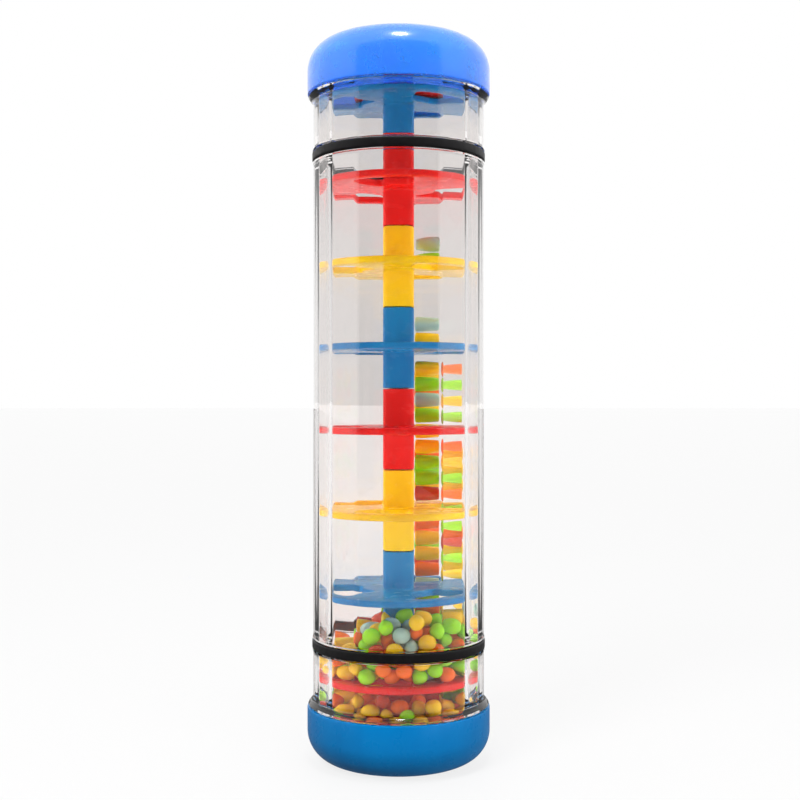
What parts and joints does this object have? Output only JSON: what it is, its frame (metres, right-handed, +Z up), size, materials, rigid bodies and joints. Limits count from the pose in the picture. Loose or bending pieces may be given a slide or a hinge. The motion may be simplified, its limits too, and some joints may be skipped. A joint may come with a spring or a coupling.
{
  "type": "rainstick",
  "caption": "Clear tube rattle with two end caps and a stack of pierced discs on a centre rod; loose beads fall through their openings when it is turned over.",
  "frame": {"origin": "middle of the flat underside of the lower cap", "axes": "+Z up along the tube's axis to the upper cap, -Y towards the front"},
  "size_m": [0.0516, 0.0516, 0.203],
  "materials": {
    "clear_tube": "clear, polished",
    "bottom_cap": "smooth, slightly glossy",
    "top_cap": "translucent, glossy",
    "rubber": "satin",
    "rod": "smooth",
    "disc_red": "glossy",
    "disc_blue": "glossy",
    "disc_yellow": "glossy",
    "bead_lime": "glossy, slightly translucent",
    "bead_orange": "glossy, slightly translucent",
    "bead_mustard": "glossy, slightly translucent",
    "bead_teal": "glossy, slightly translucent",
    "bead_brick": "glossy, slightly translucent"
  },
  "bodies": {
    "shaker_body": {"clear_tube": "clear_tube", "bottom_cap": "bottom_cap", "top_cap": "top_cap", "bottom_ring": "rubber", "top_ring": "rubber", "disc_1_red": "disc_red", "disc_2_blue": "disc_blue", "disc_3_yellow": "disc_yellow", "disc_4_red": "disc_red", "disc_5_blue": "disc_blue", "disc_6_yellow": "disc_yellow", "disc_7_red": "disc_red", "disc_8_blue": "disc_blue", "top_collar": "disc_red", "centre_rod": "rod"},
    "heap_0": {"bead_heap_0_1_orange": "bead_orange", "bead_heap_0_2_lime": "bead_lime", "bead_heap_0_3_teal": "bead_teal", "bead_heap_0_4_mustard": "bead_mustard", "bead_heap_0_5_orange": "bead_orange", "bead_heap_0_6_lime": "bead_lime", "bead_heap_0_7_teal": "bead_teal", "bead_heap_0_8_lime": "bead_lime", "bead_heap_0_9_mustard": "bead_mustard", "bead_heap_0_10_orange": "bead_orange", "bead_heap_0_11_orange": "bead_orange"},
    "heap_1": {"bead_heap_1_1_teal": "bead_teal", "bead_heap_1_2_mustard": "bead_mustard", "bead_heap_1_3_orange": "bead_orange", "bead_heap_1_4_teal": "bead_teal", "bead_heap_1_5_lime": "bead_lime", "bead_heap_1_6_lime": "bead_lime"},
    "column_1": {"bead_column_1_1_brick": "bead_brick", "bead_column_1_2_lime": "bead_lime", "bead_column_1_3_mustard": "bead_mustard", "bead_column_1_4_lime": "bead_lime", "bead_column_1_5_teal": "bead_teal", "bead_column_1_6_orange": "bead_orange"},
    "column_2": {"bead_column_2_1_mustard": "bead_mustard", "bead_column_2_2_lime": "bead_lime", "bead_column_2_3_brick": "bead_brick", "bead_column_2_4_lime": "bead_lime", "bead_column_2_5_lime": "bead_lime", "bead_column_2_6_orange": "bead_orange"},
    "column_3": {"bead_column_3_1_brick": "bead_brick", "bead_column_3_2_lime": "bead_lime", "bead_column_3_3_lime": "bead_lime", "bead_column_3_4_mustard": "bead_mustard", "bead_column_3_5_mustard": "bead_mustard", "bead_column_3_6_lime": "bead_lime"},
    "column_4": {"bead_column_4_1_lime": "bead_lime", "bead_column_4_2_mustard": "bead_mustard", "bead_column_4_3_lime": "bead_lime"},
    "column_5": {"bead_column_5_1_mustard": "bead_mustard", "bead_column_5_2_teal": "bead_teal"},
    "column_6": {"bead_column_6_1_lime": "bead_lime", "bead_column_6_2_teal": "bead_teal"},
    "rain_1": {"bead_rain_1_1_mustard": "bead_mustard"},
    "rain_2": {"bead_rain_2_1_lime": "bead_lime"}
  },
  "joints": [
    {"name": "heap_0_shift", "type": "slide", "parent": "shaker_body", "child": "heap_0", "axis": [0, 0, 1], "range_m": [0, 0.0014]},
    {"name": "heap_1_shift", "type": "slide", "parent": "shaker_body", "child": "heap_1", "axis": [0, 0, 1], "range_m": [0, 0.0014]},
    {"name": "column_1_shift", "type": "slide", "parent": "shaker_body", "child": "column_1", "axis": [0, 0, 1], "range_m": [0, 0.0016]},
    {"name": "column_2_shift", "type": "slide", "parent": "shaker_body", "child": "column_2", "axis": [0, 0, 1], "range_m": [0, 0.0016]},
    {"name": "column_3_shift", "type": "slide", "parent": "shaker_body", "child": "column_3", "axis": [0, 0, 1], "range_m": [0, 0.0016]},
    {"name": "column_4_shift", "type": "slide", "parent": "shaker_body", "child": "column_4", "axis": [0, 0, 1], "range_m": [0, 0.025]},
    {"name": "column_5_shift", "type": "slide", "parent": "shaker_body", "child": "column_5", "axis": [0, 0, 1], "range_m": [0, 0.0345]},
    {"name": "column_6_shift", "type": "slide", "parent": "shaker_body", "child": "column_6", "axis": [0, 0, 1], "range_m": [0, 0.0115]},
    {"name": "rain_1_fall", "type": "slide", "parent": "shaker_body", "child": "rain_1", "axis": [0, 0, 1], "range_m": [0, 0.0388]},
    {"name": "rain_2_fall", "type": "slide", "parent": "shaker_body", "child": "rain_2", "axis": [0, 0, 1], "range_m": [0, 0.0392]}
  ]
}
